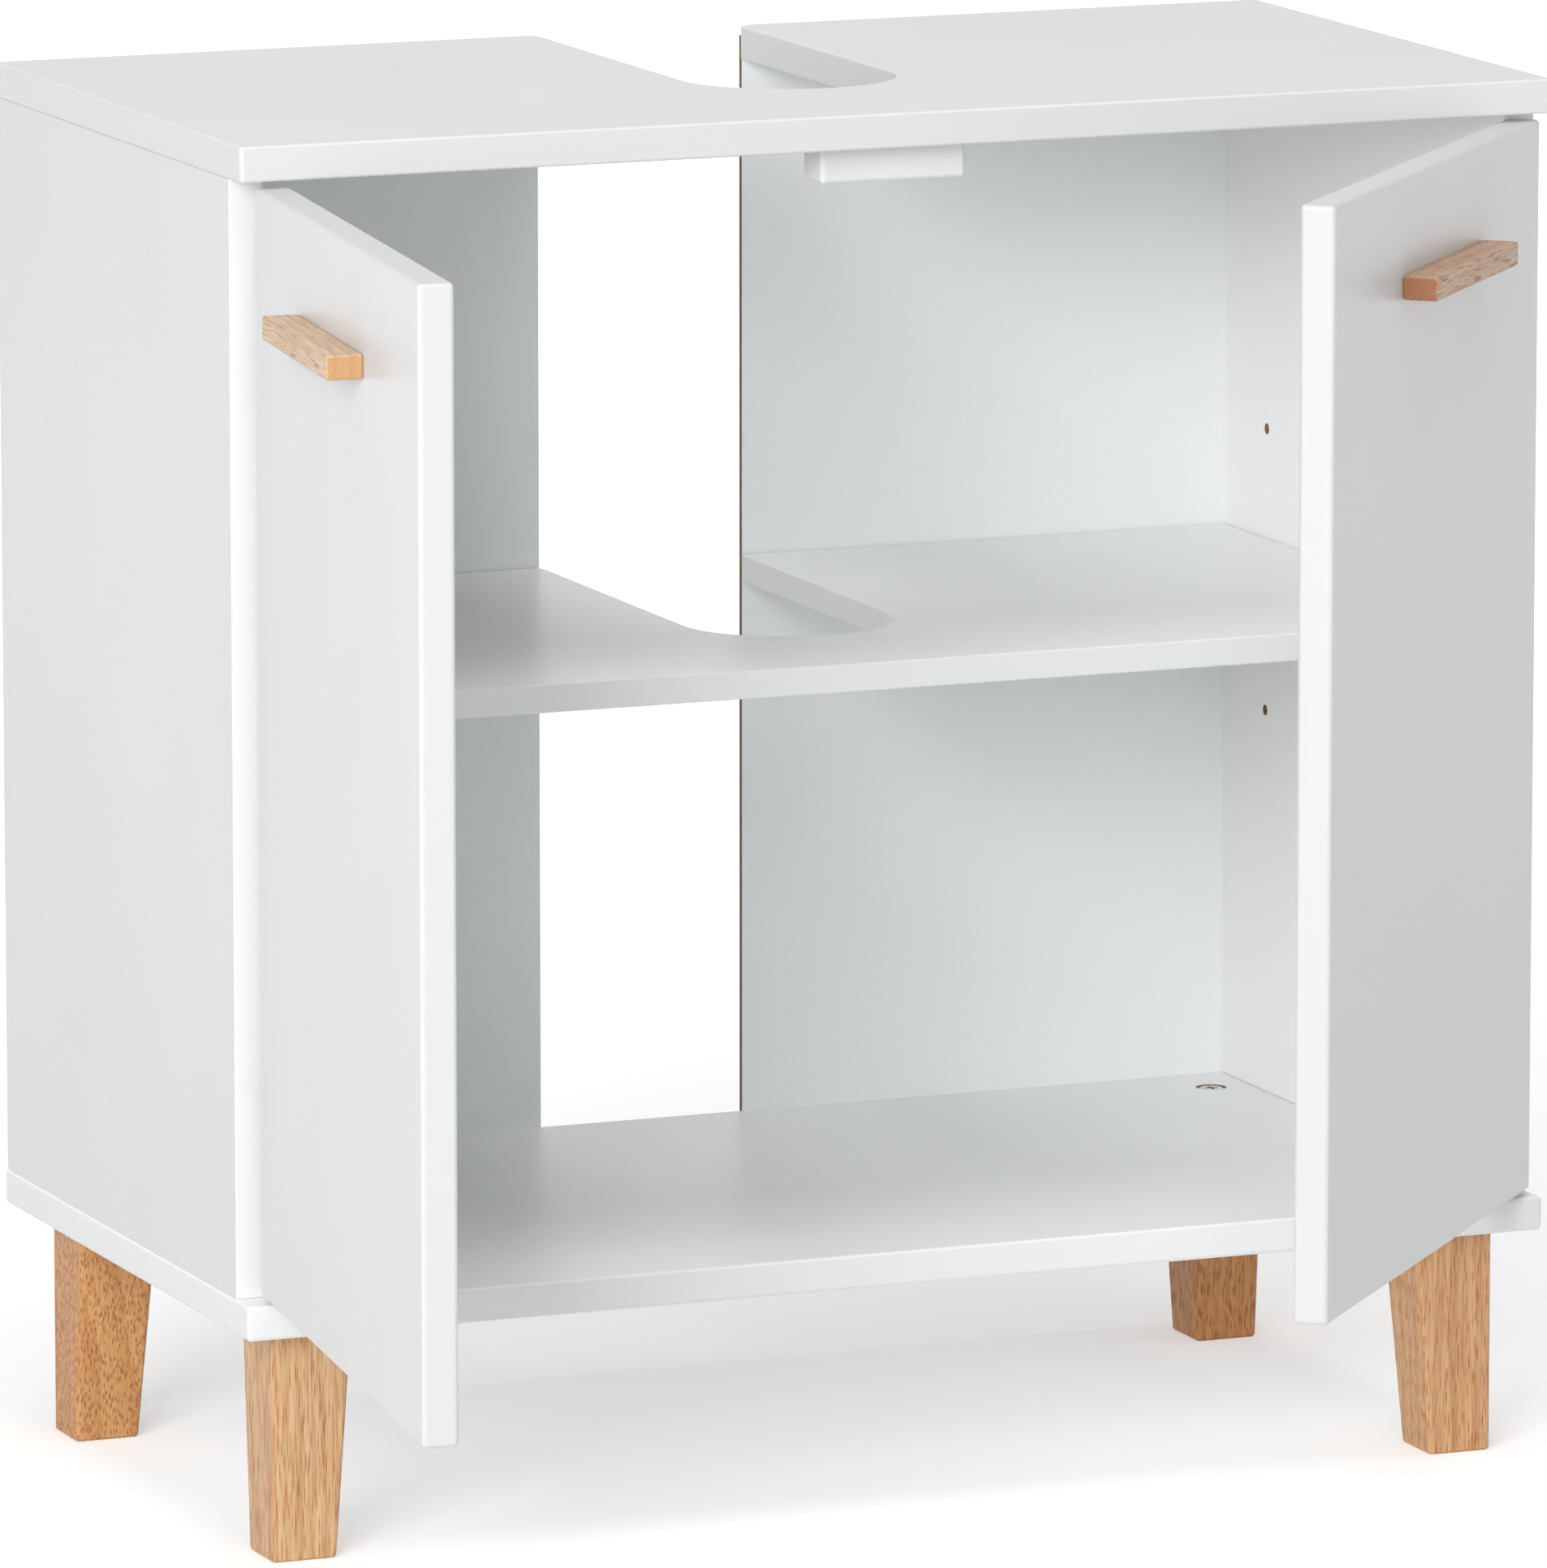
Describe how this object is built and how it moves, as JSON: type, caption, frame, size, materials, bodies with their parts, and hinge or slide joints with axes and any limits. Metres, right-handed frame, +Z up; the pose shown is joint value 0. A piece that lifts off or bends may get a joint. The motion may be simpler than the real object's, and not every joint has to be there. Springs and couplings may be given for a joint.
{
  "type": "vanity base cabinet",
  "caption": "Free-standing washbasin base cabinet with two hinged doors, a shelf, tapered wooden legs, bar handles and a U-shaped cut-out for the basin's waste pipe.",
  "frame": {"origin": "on the floor, under the centre of the carcass's width and depth", "axes": "+X to the cabinet's right seen from the front, +Y towards the wall behind it, +Z up"},
  "size_m": [0.6334, 0.598, 0.605],
  "materials": {
    "top_foil": "particle board wrapped in matt white foil",
    "carcass_foil": "particle board faced with matt white foil",
    "shelf_foil": "particle board faced with matt white foil",
    "door_foil": "fibreboard wrapped in satin white foil",
    "back_board": "thin hardboard, white inside and raw brown at the edges and back",
    "oiled_wood": "solid light brown wood, oiled",
    "beech": "plain beech",
    "zinc_plated_steel": "bright zinc plating",
    "nickel_plated_steel": "nickel plating",
    "zinc_casting": "cast zinc alloy",
    "clear_buffer": "clear soft plastic"
  },
  "bodies": {
    "root": {"top_board": "top_foil", "bottom_board": "carcass_foil", "side_left": "carcass_foil", "side_right": "carcass_foil", "back_panel_left": "back_board", "back_panel_right": "back_board", "panel_nails_left": "zinc_plated_steel", "panel_nails_right": "zinc_plated_steel", "shelf": "shelf_foil", "shelf_pins": "zinc_plated_steel", "leg_front_left": "oiled_wood", "leg_front_right": "oiled_wood", "leg_rear_left": "oiled_wood", "leg_rear_right": "oiled_wood", "leg_bolts": "zinc_plated_steel", "leg_inserts": "zinc_casting", "leg_dowels": "beech", "stop_block": "carcass_foil", "block_screws": "zinc_plated_steel", "carcass_dowels": "beech", "cam_bolts": "zinc_plated_steel", "cam_nuts_left": "zinc_casting", "cam_nuts_right": "zinc_casting", "hinge_plates_left": "nickel_plated_steel", "hinge_plates_right": "nickel_plated_steel", "plate_screws_left": "zinc_plated_steel", "plate_screws_right": "zinc_plated_steel", "hinge_arms_left": "nickel_plated_steel", "hinge_arms_right": "nickel_plated_steel", "arm_pins_left": "nickel_plated_steel", "arm_pins_right": "nickel_plated_steel", "arm_screws_left": "zinc_plated_steel", "arm_screws_right": "zinc_plated_steel"},
    "door_left": {"door_left": "door_foil", "handle_left": "oiled_wood", "handle_screws_left": "zinc_plated_steel", "hinge_cups_left": "nickel_plated_steel", "cup_pins_left": "nickel_plated_steel", "cup_screws_left": "zinc_plated_steel", "door_buffer_left": "clear_buffer"},
    "door_right": {"door_right": "door_foil", "handle_right": "oiled_wood", "handle_screws_right": "zinc_plated_steel", "hinge_cups_right": "nickel_plated_steel", "cup_pins_right": "nickel_plated_steel", "cup_screws_right": "zinc_plated_steel", "door_buffer_right": "clear_buffer"},
    "link_left": {"hinge_links_left": "nickel_plated_steel"},
    "link_right": {"hinge_links_right": "nickel_plated_steel"}
  },
  "joints": [
    {"name": "door_left_hinge", "type": "hinge", "parent": "root", "child": "door_left", "pos_m": [-0.291, -0.154, 0.35225], "axis": [0, 0, 1], "range_deg": [-7.3, 97.7]},
    {"name": "door_right_hinge", "type": "hinge", "parent": "root", "child": "door_right", "pos_m": [0.291, -0.154, 0.35225], "axis": [0, 0, 1], "range_deg": [-48.1, 56.9]},
    {"name": "link_left_pivot", "type": "hinge", "parent": "door_left", "child": "link_left", "pos_m": [-0.2839, -0.15597, 0.35225], "axis": [0, 0, 1], "range_deg": [-127.3, 9.6]},
    {"name": "link_right_pivot", "type": "hinge", "parent": "door_right", "child": "link_right", "pos_m": [0.2849, -0.14987, 0.35225], "axis": [0, 0, 1], "range_deg": [-74.2, 62.7]}
  ],
  "couplings": [
    {"joint": "link_left_pivot", "follows": "door_left_hinge", "ratio": -1.3012},
    {"joint": "link_right_pivot", "follows": "door_right_hinge", "ratio": -1.3012}
  ]
}
